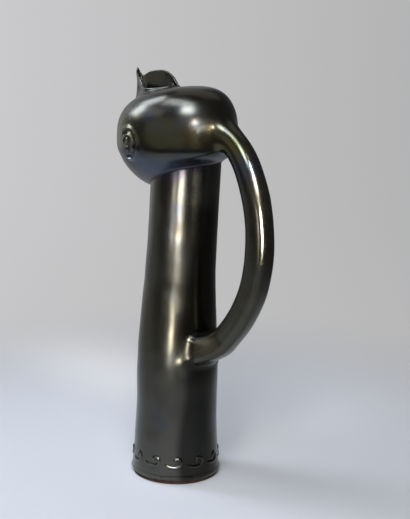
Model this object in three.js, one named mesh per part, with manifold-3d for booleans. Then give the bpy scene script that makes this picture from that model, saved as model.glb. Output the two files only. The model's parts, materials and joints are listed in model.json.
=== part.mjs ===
// A tall hand-built pitcher of fired clay: a thrown tube, an egg-shaped head that leans forward,
// a pinched mouth, and a long arched handle. Millimetres, +Z up. The origin is the middle of the
// flat foot, the handle is towards +X, and the front of the head is towards -X.
import * as THREE from 'three';
import { mergeVertices } from 'three/addons/utils/BufferGeometryUtils.js';
import Module from 'manifold-3d';

const wasm = await Module();
wasm.setup();

// Clay and joints
const wall = 6.5;               // wall of the thrown pieces
const slipLine = 0.3;           // clearance at every joint, the width of its slip
const lapHeight = 5;            // height of the tongue where two thrown pieces meet

// Foot
const slabRadius = 63.4;        // bare clay disc that shows under the glazed wall
const slabEdge = 4.6;           // height of its edge
const slabChamfer = 1.4;
const floorHeight = 12;         // top of the floor inside the tube
const footRounding = 3;         // rounded lower edge of the glazed wall

// Tube: radius at each height that shapes it
const footRadius = 66.2;
const footHeight = 10;
const ankleRadius = 63.4;
const ankleHeight = 38;
const pinchRadius = 60.3;
const pinchHeight = 112;
const swellRadius = 60.8;
const swellHeight = 162;
const taperRadius = 56.4;
const taperHeight = 242;
const waistRadius = 52.1;
const waistHeight = 312;        // the two thrown halves meet here
const neckRadius = 50.7;
const neckHeight = 440;
const leanHeight = 262;         // above this height the tube leans back towards the handle
const leanSlope = 0.048;
const leanEase = 20;

// Head: a sheared egg, flat on top and deep at the front
const headHeight = 497;         // height of its widest line, where bowl and dome meet
const headForward = 9.6;        // its middle lies this far in front of the foot's middle
const headLength = 188.8;
const headWidth = 160.5;
const crownRise = 78.8;         // dome above the widest line
const crownTilt = 0.17;         // the dome is higher towards the handle by this slope
const crownPower = 2.88;
const bellyDrop = 68;           // bowl below the widest line
const bellyTilt = 0.33;         // the bowl is deeper towards the front by this slope
const bellyPower = 1.6;

// Mouth: a teardrop in plan, pointed at the front
const mouthLength = 82.5;
const mouthWidth = 41.5;
const mouthSetBack = 0.6;       // the back of the mouth lies this far behind the head's middle
const lipWall = 4.6;
const lipFlare = 5;             // the lip spreads this much where it meets the dome
const lipTip = 20;              // heights of the rim above the top of the dome
const lipDip = 12.5;
const lipCrest = 20.5;
const lipBack = 2.2;
const lipNear = -2.6;

// Handle: a rounded square pulled along an arch
const handleSide = 37;
const handleCorner = 10.5;
const handleWall = 8;
const leastCorner = 2.5;        // no corner of its hollow or its spigots is sharper than this
const spigotLength = 6;         // each end of the arch plugs this far into its root
const spigotWall = 3.6;
const archBulge = 78;           // furthest the arch stands out from a line between its two ends
const archFootHeight = 196;     // height at which it meets the tube
const upperRootLength = 62;     // measured along the arch from its buried end
const lowerRootLength = 68;
const upperSpread = 0.47;       // how much each root widens around the wall that it meets
const lowerSpread = 0.68;
const rootDeepen = 0.14;        // and how much it deepens up and down
const ventRadius = 4;           // lets steam out of the hollow arch into the head

// Raised ornament on both sides of the head
const eyeForward = 23.4;        // its middle, in front of the head's middle
const eyeRise = 3;              // and above the head's widest line
const eyeLength = 43;
const eyeHeight = 49;
const rimBead = 2.4;            // radius of the raised rim
const lidShare = 0.56;          // the inner ridge is this share of the rim
const lidBead = 2;
const bossRadius = 3.8;
const bossRise = 6;
const beadRadius = 2.8;
const beadTube = 1.2;
const beadDrop = 7;

// Band of raised curls above the foot
const bandHeight = 34;          // middle of the band
const curlCount = 12;
const curlHeight = 19;
const curlBead = 1.7;
const curlTurn = 4.6;           // radians that each curl winds through
const curlTighten = 0.42;       // its inner end is this share of its outer radius
const tailShare = 0.52;         // each tail reaches back this share of the way to the last curl

// How finely round shapes are cut into facets
const ringSides = 36;
const innerSides = 26;         // inside of the head, which the mouth hardly shows
const headRows = 16;
const tubeStep = 30;            // height of a row of facets on the tube's outside
const boreStep = 50;            // and on its inside
const archStep = 18;
const cutReach = 400;           // half-size of a cutting block, larger than any piece

const glaze = { color: 0x34322d, roughness: 0.28, metalness: 0.75 };
const bareClay = { color: 0x6b3a26, roughness: 0.9, metalness: 0 };

// Shapes to solids and back

function toSolid(geometry) {
  const bare = geometry.clone();
  bare.deleteAttribute('normal');
  bare.deleteAttribute('uv');
  const merged = mergeVertices(bare, 1e-3);
  const corners = merged.index.array;
  const kept = [];
  for (let i = 0; i < corners.length; i += 3) {
    const [a, b, c] = [corners[i], corners[i + 1], corners[i + 2]];
    if (a !== b && b !== c && c !== a) {
      kept.push(a, b, c);
    }
  }
  const vertProperties = new Float32Array(merged.attributes.position.array);
  const triVerts = new Uint32Array(kept);
  return new wasm.Manifold(new wasm.Mesh({ numProp: 3, vertProperties, triVerts }));
}

function toGeometry(solid) {
  const mesh = solid.getMesh();
  const geometry = new THREE.BufferGeometry();
  geometry.setAttribute('position', new THREE.BufferAttribute(new Float32Array(mesh.vertProperties), 3));
  geometry.setIndex(new THREE.BufferAttribute(new Uint32Array(mesh.triVerts), 1));
  geometry.computeVertexNormals();
  return geometry;
}

function reshape(geometry, place) {
  const position = geometry.attributes.position;
  const point = new THREE.Vector3();
  for (let i = 0; i < position.count; i++) {
    point.fromBufferAttribute(position, i);
    const moved = place(point);
    position.setXYZ(i, moved.x, moved.y, moved.z);
  }
  return geometry;
}

// A turned shape: profile points are [radius, height], from the bottom up
function turned(profile, sides = ringSides) {
  const points = profile.map(([radius, height]) => new THREE.Vector2(radius, height));
  return new THREE.LatheGeometry(points, sides).rotateX(Math.PI / 2);
}

function slice(low, high) {
  const block = new THREE.BoxGeometry(2 * cutReach, 2 * cutReach, high - low);
  return toSolid(block.translate(0, 0, (low + high) / 2));
}

// Tube

function lean(height) {
  const above = height - leanHeight;
  return (leanSlope * (above + Math.hypot(above, leanEase))) / 2;
}

const tubeOutline = new THREE.SplineCurve([
  new THREE.Vector2(footRadius, footHeight),
  new THREE.Vector2(ankleRadius, ankleHeight),
  new THREE.Vector2(pinchRadius, pinchHeight),
  new THREE.Vector2(swellRadius, swellHeight),
  new THREE.Vector2(taperRadius, taperHeight),
  new THREE.Vector2(waistRadius, waistHeight),
  new THREE.Vector2(neckRadius, neckHeight),
  new THREE.Vector2(neckRadius, headHeight),
]);

function tubeRadius(height) {
  let low = 0;
  let high = 1;
  for (let i = 0; i < 30; i++) {
    const middle = (low + high) / 2;
    if (tubeOutline.getPoint(middle).y < height) {
      low = middle;
    } else {
      high = middle;
    }
  }
  return tubeOutline.getPoint(low).x;
}

// The tube as a filled column between two heights, thinner than the outline by inset
function tubeColumn(inset, low, high, stepHeight = tubeStep) {
  const steps = Math.max(1, Math.round((high - low) / stepHeight));
  const profile = [[0, low]];
  for (let i = 0; i <= steps; i++) {
    const height = low + ((high - low) * i) / steps;
    profile.push([tubeRadius(height) - inset, height]);
  }
  profile.push([0, high]);
  return toSolid(reshape(turned(profile), (p) => p.setX(p.x + lean(p.z))));
}

// Head

// The egg, smaller than the head by inset on every side
function headEgg(inset, sides = ringSides) {
  const profile = [];
  for (let i = 0; i <= headRows; i++) {
    const angle = Math.PI * (i / headRows - 0.5);
    const power = angle < 0 ? bellyPower : crownPower;
    const across = Math.max(Math.cos(angle), 0) ** (2 / power);
    const up = Math.sign(angle) * Math.abs(Math.sin(angle)) ** (2 / power);
    profile.push([i === 0 || i === headRows ? 0 : across, up]);
  }
  return toSolid(reshape(turned(profile, sides), (p) => {
    const x = p.x * (headLength / 2 - inset);
    const rise = (p.z > 0 ? crownRise + crownTilt * x : bellyDrop - bellyTilt * x) - inset;
    return p.set(x - headForward, p.y * (headWidth / 2 - inset), headHeight + p.z * rise);
  }));
}

// Half-width of the head at a point of its side, given by x and z
function headSide(x, z) {
  const along = x + headForward;
  const up = z - headHeight;
  const rise = up > 0 ? crownRise + crownTilt * along : bellyDrop - bellyTilt * along;
  const power = up > 0 ? crownPower : bellyPower;
  const across = (1 - (Math.abs(up) / rise) ** power) ** (1 / power);
  return (headWidth / 2) * Math.sqrt(across ** 2 - (along / (headLength / 2)) ** 2);
}

// Height of the dome's outside above a point of the plan
function domeHeight(x, y) {
  const along = x + headForward;
  const across = Math.min(Math.hypot(along / (headLength / 2), y / (headWidth / 2)), 1);
  return headHeight + (crownRise + crownTilt * along) * (1 - across ** crownPower) ** (1 / crownPower);
}

const headOuter = headEgg(0);
const headInner = headEgg(wall, innerSides);
const headClear = headEgg(-slipLine);

// Mouth

// Rim of the lip: share of the length from the back, share of the half-width, and height above
// the top of the dome. +Y is the far side, which stands up in a crest.
const mouthRim = [
  [1, 0, lipTip], [0.93, 0.26, lipDip], [0.86, 0.53, (lipDip + lipCrest) / 2], [0.74, 0.77, 0.95 * lipCrest],
  [0.59, 0.91, lipCrest], [0.46, 0.96, 0.88 * lipCrest], [0.33, 0.94, (lipCrest + lipBack) / 2],
  [0.19, 0.7, 1.68 * lipBack], [0.06, 0.29, lipBack], [0, -0.29, lipBack], [0.07, -0.72, 0.73 * lipBack],
  [0.21, -0.96, 0.31 * lipNear], [0.39, -1.04, lipNear], [0.61, -0.87, 1.19 * lipNear],
  [0.82, -0.38, 0.385 * (lipTip + lipNear)],
];
const mouthBack = mouthSetBack - headForward;
const mouthMiddle = new THREE.Vector3(mouthBack - 0.43 * mouthLength, 0, 0);
const rimCurve = new THREE.CatmullRomCurve3(
  mouthRim.map(([share, side, rise]) => new THREE.Vector3(
    mouthBack - share * mouthLength,
    (side * mouthWidth) / 2,
    headHeight + crownRise + rise,
  )),
  true,
);

// A ring, or with inner at null a plug, that follows the mouth. Offsets are from the middle of the
// lip's wall, outwards. Its foot is buried by depth under the dome's outside.
function mouthShape(inner, outer, flare, depth, raise) {
  const rows = 4;
  const profile = [];
  for (let i = 0; i <= rows; i++) {
    profile.push([outer, i / rows]);
  }
  if (inner !== null) {
    profile.push([(inner + outer) / 2, 1 + 0.25 / rows]);
    for (let i = rows; i >= 0; i--) {
      profile.push([inner, i / rows]);
    }
    profile.push(profile[0]);
  }
  const offsetBase = 100;       // keeps the unbent profile clear of the axis
  const unbent = profile.map(([offset, share]) => [offsetBase + offset, share]);
  if (inner === null) {
    unbent.unshift([0, 0]);
    unbent.push([0, 1]);
  }
  return toSolid(reshape(turned(unbent), (p) => {
    const turn = (1 - Math.atan2(p.y, p.x) / (2 * Math.PI)) % 1;
    const radius = Math.hypot(p.x, p.y);
    const rim = rimCurve.getPoint(turn);
    const out = new THREE.Vector3(rim.x, rim.y, 0).sub(mouthMiddle);
    const reach = out.length();
    out.normalize();
    const foot = domeHeight(rim.x, rim.y) - depth;
    const top = rim.z + raise;
    const height = foot + (top - foot) * p.z;
    const above = Math.max(height - domeHeight(rim.x, rim.y), 0);
    const spread = radius > offsetBase ? flare * Math.exp(-above / lipFlare) : 0;
    const offset = radius < 1 ? 0 : reach + radius - offsetBase + spread;
    return new THREE.Vector3(
      mouthMiddle.x + out.x * offset,
      mouthMiddle.y + out.y * offset,
      radius < 1 ? headHeight + (p.z > 0.5 ? crownRise + lipCrest + raise : crownRise - depth) : height,
    );
  }));
}

// Handle

// The arch's two ends: where it meets the back of the head, and where it meets the tube
const headEnd = { x: headLength / 2 - headForward, z: headHeight };
const tubeEnd = { x: tubeRadius(archFootHeight) + lean(archFootHeight), z: archFootHeight };

// Near each end: how far the line lies out from that end and above it, as shares of the bulge
const archStart = [[-0.369, 0.41], [0.041, 0.2115], [0.374, -0.077]];
const archFinish = [[0.282, 0.218], [-0.256, -0.051]];
// Between them: share of the way up from the tube's end to the head's end, and share of the bulge
const archShape = [
  [0.848, 0.7], [0.69, 0.918], [0.555, 1], [0.448, 0.996], [0.343, 0.932], [0.226, 0.757], [0.139, 0.546],
];
const fromEnd = (end, [out, up]) => new THREE.Vector3(end.x + out * archBulge, 0, end.z + up * archBulge);
const archPoints = [
  ...archStart.map((point) => fromEnd(headEnd, point)),
  ...archShape.map(([up, bulge]) => new THREE.Vector3(
    THREE.MathUtils.lerp(tubeEnd.x, headEnd.x, up) + bulge * archBulge,
    0,
    THREE.MathUtils.lerp(tubeEnd.z, headEnd.z, up),
  )),
  ...archFinish.map((point) => fromEnd(tubeEnd, point)),
];
const archCurve = new THREE.CatmullRomCurve3(archPoints);
archCurve.arcLengthDivisions = 400;
const archLength = archCurve.getLength();

function roundedSquare(side, corner) {
  const half = side / 2;
  const straight = half - corner;
  const shape = new THREE.Shape();
  shape.moveTo(half, -straight);
  shape.lineTo(half, straight);
  shape.absarc(straight, straight, corner, 0, Math.PI / 2);
  shape.absarc(-straight, straight, corner, Math.PI / 2, Math.PI);
  shape.absarc(-straight, -straight, corner, Math.PI, 1.5 * Math.PI);
  shape.absarc(straight, -straight, corner, 1.5 * Math.PI, 2 * Math.PI);
  return shape;
}

// A stretch of the arch between two distances along it, smaller than the handle by inset
function archSolid(inset, from, to, { flared = false, curveSegments = 1 } = {}) {
  const shape = roundedSquare(handleSide - 2 * inset, Math.max(handleCorner - inset, leastCorner));
  const steps = Math.max(1, Math.round((to - from) / archStep));
  const bar = new THREE.ExtrudeGeometry(shape, {
    depth: to - from,
    steps,
    bevelEnabled: false,
    curveSegments,
  });
  return toSolid(reshape(bar, (p) => {
    const distance = THREE.MathUtils.clamp(from + p.z, 0, archLength);
    const centre = archCurve.getPointAt(distance / archLength);
    const tangent = archCurve.getTangentAt(distance / archLength);
    const upper = Math.max(1 - distance / upperRootLength, 0) ** 2;
    const lower = Math.max(1 - (archLength - distance) / lowerRootLength, 0) ** 2;
    const spread = flared ? 1 + 2 * upperSpread * upper + 2 * lowerSpread * lower : 1;
    const deepen = flared ? 1 + 2 * rootDeepen * (upper + lower) : 1;
    const across = p.x * deepen;
    return new THREE.Vector3(centre.x + tangent.z * across, p.y * spread, centre.z - tangent.x * across);
  }));
}

// Raised clay on a curved wall

function beadAlong(points, radius, steps) {
  const circle = new THREE.Shape().absarc(0, 0, radius, 0, 2 * Math.PI);
  return new THREE.ExtrudeGeometry(circle, {
    steps,
    curveSegments: 3,
    extrudePath: new THREE.CatmullRomCurve3(points),
    bevelEnabled: false,
  });
}

// A point on the head's side, measured from the middle of the ornament
function eyePoint(along, up, hand) {
  const x = along - headForward - eyeForward;
  const z = headHeight + eyeRise + up;
  return new THREE.Vector3(x, hand * headSide(x, z), z);
}

function eyeArc(share, startTurn, endTurn, hand) {
  const points = [];
  const count = 12;
  for (let i = 0; i <= count; i++) {
    const angle = startTurn + ((endTurn - startTurn) * i) / count;
    const along = (Math.cos(angle) * eyeLength * share) / 2;
    points.push(eyePoint(along, (Math.sin(angle) * eyeHeight * share) / 2, hand));
  }
  return points;
}

// Stands a shape, made facing +Z, on the head's side
function onHead(geometry, along, up, hand) {
  const here = eyePoint(along, up, hand);
  const across = eyePoint(along + 1, up, hand).sub(here);
  const above = eyePoint(along, up + 1, hand).sub(here);
  const outward = across.cross(above).normalize();
  if (outward.y * hand < 0) {
    outward.negate();
  }
  const turn = new THREE.Quaternion().setFromUnitVectors(new THREE.Vector3(0, 0, 1), outward);
  return geometry.applyQuaternion(turn).translate(here.x, here.y, here.z);
}

// A raised curl of the band: a tail that runs into a spiral, like a breaking wave
function curl(turn) {
  const pitch = (2 * Math.PI * tubeRadius(bandHeight)) / curlCount;
  const outer = curlHeight / 2 - curlBead;
  const flat = [[-tailShare * pitch, -0.7 * outer], [-0.28 * pitch, -outer]];
  const count = 8;
  for (let i = 0; i <= count; i++) {
    const angle = -Math.PI / 2 + (curlTurn * i) / count;
    const radius = outer * THREE.MathUtils.lerp(1, curlTighten, i / count);
    flat.push([radius * Math.cos(angle), radius * Math.sin(angle)]);
  }
  const points = flat.map(([along, up]) => {
    const radius = tubeRadius(bandHeight + up);
    const angle = turn + along / radius;
    return new THREE.Vector3(radius * Math.cos(angle), radius * Math.sin(angle), bandHeight + up);
  });
  return toSolid(beadAlong(points, curlBead, 13));
}

// The pieces

const pitcher = new THREE.Group();
pitcher.name = 'sculptural_pitcher';

function addPiece(name, solid, look) {
  const mesh = new THREE.Mesh(toGeometry(solid), new THREE.MeshStandardMaterial(look));
  mesh.name = name;
  pitcher.add(mesh);
}

const seatRadius = tubeRadius(floorHeight) - wall;

function addBase() {
  const plug = seatRadius - slipLine;
  const slab = toSolid(turned([
    [0, 0], [slabRadius - slabChamfer, 0], [slabRadius, slabChamfer], [slabRadius, slabEdge],
    [plug, slabEdge], [plug, floorHeight], [0, floorHeight],
  ]));
  addPiece('base_slab', slab, bareClay);
}

function addTube() {
  const seat = slabEdge + slipLine;
  const halfWall = wall / 2;
  const halfSlip = slipLine / 2;

  const toe = [[0, seat], [footRadius - footRounding, seat]];
  for (let i = 1; i <= 3; i++) {
    const angle = (i / 3) * (Math.PI / 2);
    toe.push([
      footRadius - footRounding + footRounding * Math.sin(angle),
      seat + footRounding - footRounding * Math.cos(angle),
    ]);
  }
  toe.push([footRadius, footHeight], [0, footHeight]);
  const foot = toSolid(turned(toe));
  const lowerBody = foot.add(tubeColumn(0, footHeight, waistHeight - halfSlip));
  const tongue = tubeColumn(halfWall + halfSlip, waistHeight - lapHeight, waistHeight + lapHeight);
  const seatBore = toSolid(turned([[0, 0], [seatRadius, 0], [seatRadius, floorHeight], [0, floorHeight]]));
  const lowerBore = tubeColumn(wall, floorHeight, waistHeight + 2 * lapHeight, boreStep);
  const lower = lowerBody.add(tongue).subtract(seatBore).subtract(lowerBore);
  addPiece('tube_lower', lower, glaze);

  const upperBody = tubeColumn(0, waistHeight + halfSlip, headHeight);
  const groove = tubeColumn(halfWall - halfSlip, waistHeight - lapHeight, waistHeight + lapHeight + slipLine);
  const bore = tubeColumn(wall, waistHeight - lapHeight, headHeight + lapHeight, boreStep);
  const upper = upperBody.subtract(groove).subtract(bore).subtract(headClear);
  addPiece('tube_upper', upper, glaze);
}

function addHead() {
  const shell = headOuter.subtract(headInner);
  const halfSlip = slipLine / 2;
  const throat = tubeColumn(wall, waistHeight, headHeight);
  const lip = headEgg(wall / 2 + halfSlip).subtract(headInner);
  const tongue = lip.intersect(slice(headHeight - lapHeight, headHeight + lapHeight));
  const bowl = shell.intersect(slice(0, headHeight - halfSlip)).subtract(throat).add(tongue);
  addPiece('head_bowl', bowl, glaze);

  const groove = headEgg(wall / 2 - halfSlip).intersect(slice(0, headHeight + lapHeight + slipLine));
  const opening = mouthShape(null, lipWall / 2 + slipLine, 0, 3 * wall, lipTip);
  const vent = archSolid(handleSide / 2 - ventRadius, 0, upperRootLength);
  const upperShell = shell.subtract(slice(0, headHeight + halfSlip));
  addPiece('head_dome', upperShell.subtract(groove).subtract(opening).subtract(vent), glaze);
}

function addMouth() {
  const half = lipWall / 2;
  const above = mouthShape(-half, half, lipFlare, 2 * wall, 0).subtract(headClear);
  const spigotClear = headEgg(-2 * slipLine);
  const spigot = mouthShape(-half, half, 0, 3 * wall, 0).intersect(spigotClear).subtract(headInner);
  addPiece('mouth_collar', above.add(spigot), glaze);
}

function addHandle() {
  const upperJoint = upperRootLength;
  const lowerJoint = archLength - lowerRootLength;
  const halfSlip = slipLine / 2;
  const tubeClear = tubeColumn(-slipLine, archFootHeight - 2 * lowerRootLength, headHeight);
  const hollow = archSolid(handleWall, 0, archLength);

  const body = archSolid(0, upperJoint + halfSlip, lowerJoint - halfSlip, { curveSegments: 2 });
  const spigots = archSolid(spigotWall, upperJoint - spigotLength, lowerJoint + spigotLength);
  addPiece('handle_arch', body.add(spigots).subtract(hollow), glaze);

  const upper = archSolid(0, 0, upperJoint - halfSlip, { flared: true, curveSegments: 2 });
  const socket = spigotLength + slipLine;
  const upperSocket = archSolid(spigotWall - slipLine, upperJoint - socket, upperJoint + socket);
  const upperRoot = upper.subtract(upperSocket).subtract(hollow).subtract(headClear).subtract(tubeClear);
  addPiece('handle_root_upper', upperRoot, glaze);

  const lower = archSolid(0, lowerJoint + halfSlip, archLength, { flared: true, curveSegments: 2 });
  const lowerSocket = archSolid(spigotWall - slipLine, lowerJoint - socket, lowerJoint + socket);
  const lowerRoot = lower.subtract(lowerSocket).subtract(hollow).subtract(tubeClear);
  addPiece('handle_root_lower', lowerRoot, glaze);
}

function addEyes() {
  const seatCut = (geometry) => toSolid(geometry).subtract(headClear);
  for (const [side, hand] of [['left', -1], ['right', 1]]) {
    const rim = eyeArc(1, 0.82 * Math.PI, -0.66 * Math.PI, hand);
    addPiece(`eye_rim_${side}`, seatCut(beadAlong(rim, rimBead, 18)), glaze);
    const lid = eyeArc(lidShare, 1.05 * Math.PI, -0.3 * Math.PI, hand);
    addPiece(`eye_lid_${side}`, seatCut(beadAlong(lid, lidBead, 12)), glaze);
    const boss = new THREE.SphereGeometry(bossRadius, 10, 6).scale(0.85, 1, 0.75);
    addPiece(`eye_boss_${side}`, seatCut(onHead(boss, -1, bossRise, hand)), glaze);
    const bead = new THREE.TorusGeometry(beadRadius, beadTube, 6, 12);
    addPiece(`eye_bead_${side}`, seatCut(onHead(bead, -1, -beadDrop, hand)), glaze);
  }
}

function addBand() {
  const core = tubeColumn(-slipLine, bandHeight - curlHeight, bandHeight + curlHeight, 2 * curlHeight);
  for (let i = 0; i < curlCount; i++) {
    const raised = curl((2 * Math.PI * (i + 0.5)) / curlCount).subtract(core);
    addPiece(`band_curl_${String(i + 1).padStart(2, '0')}`, raised, glaze);
  }
}

addBase();
addTube();
addHead();
addMouth();
addHandle();
addEyes();
addBand();

export default pitcher;
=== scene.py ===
# A tall hand-built pitcher in a black lustre glaze. Metres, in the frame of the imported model.
import json
import math
import bmesh
import bpy
import numpy as np
from mathutils import Matrix, Vector, noise

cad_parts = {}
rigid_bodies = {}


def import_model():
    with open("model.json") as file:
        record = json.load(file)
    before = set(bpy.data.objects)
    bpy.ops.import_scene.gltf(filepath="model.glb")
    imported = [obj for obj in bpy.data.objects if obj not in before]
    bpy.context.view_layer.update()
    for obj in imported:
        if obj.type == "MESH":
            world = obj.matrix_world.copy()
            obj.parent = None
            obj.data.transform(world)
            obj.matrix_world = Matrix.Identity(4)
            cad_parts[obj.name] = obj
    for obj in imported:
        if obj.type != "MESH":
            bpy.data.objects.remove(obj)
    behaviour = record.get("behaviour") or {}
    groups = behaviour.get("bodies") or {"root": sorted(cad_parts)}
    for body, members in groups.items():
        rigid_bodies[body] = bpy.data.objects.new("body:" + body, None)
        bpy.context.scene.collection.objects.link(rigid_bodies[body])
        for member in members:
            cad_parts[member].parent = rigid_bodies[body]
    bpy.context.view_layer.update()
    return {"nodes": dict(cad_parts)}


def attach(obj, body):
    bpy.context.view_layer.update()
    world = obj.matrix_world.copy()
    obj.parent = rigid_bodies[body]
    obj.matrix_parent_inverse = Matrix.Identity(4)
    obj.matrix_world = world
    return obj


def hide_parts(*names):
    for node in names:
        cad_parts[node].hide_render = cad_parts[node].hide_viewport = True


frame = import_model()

mm = 0.001
scene = bpy.context.scene


# Small helpers

def addMesh(name, bm):
    mesh = bpy.data.meshes.new(name)
    bm.to_mesh(mesh)
    bm.free()
    obj = bpy.data.objects.new(name, mesh)
    scene.collection.objects.link(obj)
    for polygon in mesh.polygons:
        polygon.use_smooth = True
    return obj


def meshPoints(mesh):
    points = np.empty(len(mesh.vertices) * 3)
    mesh.vertices.foreach_get("co", points)
    return points.reshape(-1, 3)


def setPoints(mesh, points):
    mesh.vertices.foreach_set("co", np.ascontiguousarray(points, dtype=np.float32).ravel())
    mesh.update()


def reshape(bm, place):
    # moves every vertex at once; place takes and gives an array of points
    points = np.array([v.co for v in bm.verts], float)
    for vert, moved in zip(bm.verts, place(points)):
        vert.co = moved
    return bm


def bakeModifiers(obj):
    graph = bpy.context.evaluated_depsgraph_get()
    mesh = bpy.data.meshes.new_from_object(obj.evaluated_get(graph))
    obj.modifiers.clear()
    old = obj.data
    obj.data = mesh
    bpy.data.meshes.remove(old)


def throughPoints(points, closed=False, count=400, perSpan=60):
    # a smooth line through the points (centripetal Catmull-Rom), evenly spaced along its length
    points = [Vector(p) for p in points]
    n = len(points)
    spans = n if closed else n - 1
    line = []
    for i in range(spans):
        if closed:
            p = [points[(i + k - 1) % n] for k in range(4)]
        else:
            first = points[0] * 2 - points[1] if i == 0 else points[i - 1]
            last = points[-1] * 2 - points[-2] if i == spans - 1 else points[i + 2]
            p = [first, points[i], points[i + 1], last]
        d = [max((p[k + 1] - p[k]).length, 1e-6) ** 0.5 for k in range(3)]
        t1 = (p[1] - p[0]) / d[0] - (p[2] - p[0]) / (d[0] + d[1]) + (p[2] - p[1]) / d[1]
        t2 = (p[2] - p[1]) / d[1] - (p[3] - p[1]) / (d[1] + d[2]) + (p[3] - p[2]) / d[2]
        t1, t2 = t1 * d[1], t2 * d[1]
        for k in range(perSpan):
            t = k / perSpan
            line.append(
                p[1] + t1 * t
                + (p[2] * 3 - p[1] * 3 - t1 * 2 - t2) * t * t
                + (p[1] * 2 - p[2] * 2 + t1 + t2) * t ** 3
            )
    line.append(points[0] if closed else points[-1])
    line = np.array(line)
    along = np.concatenate([[0], np.cumsum(np.linalg.norm(np.diff(line, axis=0), axis=1))])
    even = np.linspace(0, along[-1], count + 1)
    return np.stack([np.interp(even, along, line[:, k]) for k in range(3)], 1)


def blur(values, width, closed=False):
    # evens out a sampled line; width is in samples
    reach = int(3 * width)  # the weights fade to nothing there
    weights = np.exp(-0.5 * (np.arange(-reach, reach + 1) / width) ** 2)
    weights /= weights.sum()
    flat = values.reshape(len(values), -1)
    if closed:
        padded = np.concatenate([flat[-reach:], flat, flat[:reach]])
    else:
        head = 2 * flat[0] - flat[reach:0:-1]
        tail = 2 * flat[-1] - flat[-2:-reach - 2:-1]
        padded = np.concatenate([head, flat, tail])
    out = np.stack([np.convolve(padded[:, k], weights, "valid") for k in range(flat.shape[1])], 1)
    return out.reshape(values.shape)


def softMin(a, b, reach):
    # joins two shapes with a fillet; reach is how near they have to be for it to start
    near = np.maximum(reach - np.abs(a - b), 0) / reach
    return np.minimum(a, b) - near ** 3 * reach / 6


def softMax(a, b, reach):
    return -softMin(-a, -b, reach)


batch = 4000                  # points worked on at once, to save memory


class Lookup:
    # values worked out once on a flat grid, and read between its points
    def __init__(self, low, high, step, values):
        self.low, self.step = np.array(low, float), step
        self.shape = [int((h - l) / step) + 1 for l, h in zip(low, high)]
        u, v = np.meshgrid(*[np.arange(n) * step + l for n, l in zip(self.shape, low)], indexing="ij")
        self.grid = values(np.stack([u.ravel(), v.ravel()], 1)).reshape(*self.shape, -1)

    def read(self, u, v):
        at = (np.stack([u, v], 1) - self.low) / self.step
        at = np.clip(at, 0, np.array(self.shape) - 1.001)
        cell = at.astype(int)
        share = at - cell
        i, j = cell[:, 0], cell[:, 1]
        s, t = share[:, :1], share[:, 1:]
        g = self.grid
        return (g[i, j] * (1 - s) * (1 - t) + g[i + 1, j] * s * (1 - t)
                + g[i, j + 1] * (1 - s) * t + g[i + 1, j + 1] * s * t)


# Forms of the pot, in millimetres. Each returns a distance, negative inside the clay.

pot = {
    "wall": 6.5,
    "bottom": 4.9,            # the glaze stops here, above the bare foot
    "toeRounding": 3.0, "toeHeight": 30,
    "glazeBead": 1.3, "beadUp": 3.2, "beadWidth": 2.4,  # the glaze ran down into a roll above the foot
    "floor": 12.0,
    "outline": [              # radius of the tube, height
        (66.2, 10), (63.4, 38), (60.3, 112), (60.8, 162), (56.4, 242),
        (52.1, 312), (50.7, 440), (50.7, 497),
    ],
    "leanHeight": 262, "leanSlope": 0.048, "leanEase": 20,
    "headHeight": 497, "headMiddle": -9.6, "headLength": 188.8, "headWidth": 160.5,
    "crownRise": 78.8, "crownTilt": 0.17, "crownPower": 2.88, "crownEase": 50,
    "bellyDrop": 68, "bellyTilt": 0.33, "bellyPower": 1.6,
    "headTubeFillet": 3.0, "throatFillet": 10.0, "lowerRootFillet": 8.0,
    "upperRootFillet": (6, 24), "upperRootHeight": (476, 506),  # sharp below the arch, wide above it
    "wobble": [(0.55, 46), (0.17, 18)],  # depth and size of the dents that hands leave
    "drawIn": 0.55,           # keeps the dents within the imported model's surface
    "voxel": 3.5,             # size of the first even mesh, before it is fitted to the forms
}

tubeLine = blur(throughPoints([(r, 0, z) for r, z in pot["outline"]]), 6)


def tubeRadius(z):
    return np.interp(z, tubeLine[:, 2], tubeLine[:, 0])


def lean(z):
    above = z - pot["leanHeight"]
    return pot["leanSlope"] * (above + np.hypot(above, pot["leanEase"])) / 2


def tubeForm(p, inset=0.0):
    x, y, z = p.T
    return np.hypot(x - lean(z), y) - tubeRadius(z) + inset


def headForm(p, inset=0.0):
    x, y, z = p.T
    along = x - pot["headMiddle"]
    up = z - pot["headHeight"]
    rise = np.where(up > 0, pot["crownRise"] + pot["crownTilt"] * along,
                    pot["bellyDrop"] - pot["bellyTilt"] * along) - inset
    ease = np.clip(up / pot["crownEase"] + 0.5, 0, 1)
    ease = ease * ease * (3 - 2 * ease)
    power = pot["bellyPower"] + (pot["crownPower"] - pot["bellyPower"]) * ease
    across = np.hypot(along / (pot["headLength"] / 2 - inset), y / (pot["headWidth"] / 2 - inset))
    size = (across ** power + (np.abs(up) / rise) ** power) ** (1 / power)
    reach = np.sqrt(along ** 2 + y ** 2 + up ** 2)
    return reach * (1 - 1 / np.maximum(size, 1e-3))


def domeTop(x, y):
    along = x - pot["headMiddle"]
    across = np.minimum(np.hypot(along / (pot["headLength"] / 2), y / (pot["headWidth"] / 2)), 1)
    rise = pot["crownRise"] + pot["crownTilt"] * along
    return pot["headHeight"] + rise * (1 - across ** pot["crownPower"]) ** (1 / pot["crownPower"])


# Mouth: a pinched teardrop with a tall pointed lip and a crest on its far side

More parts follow.
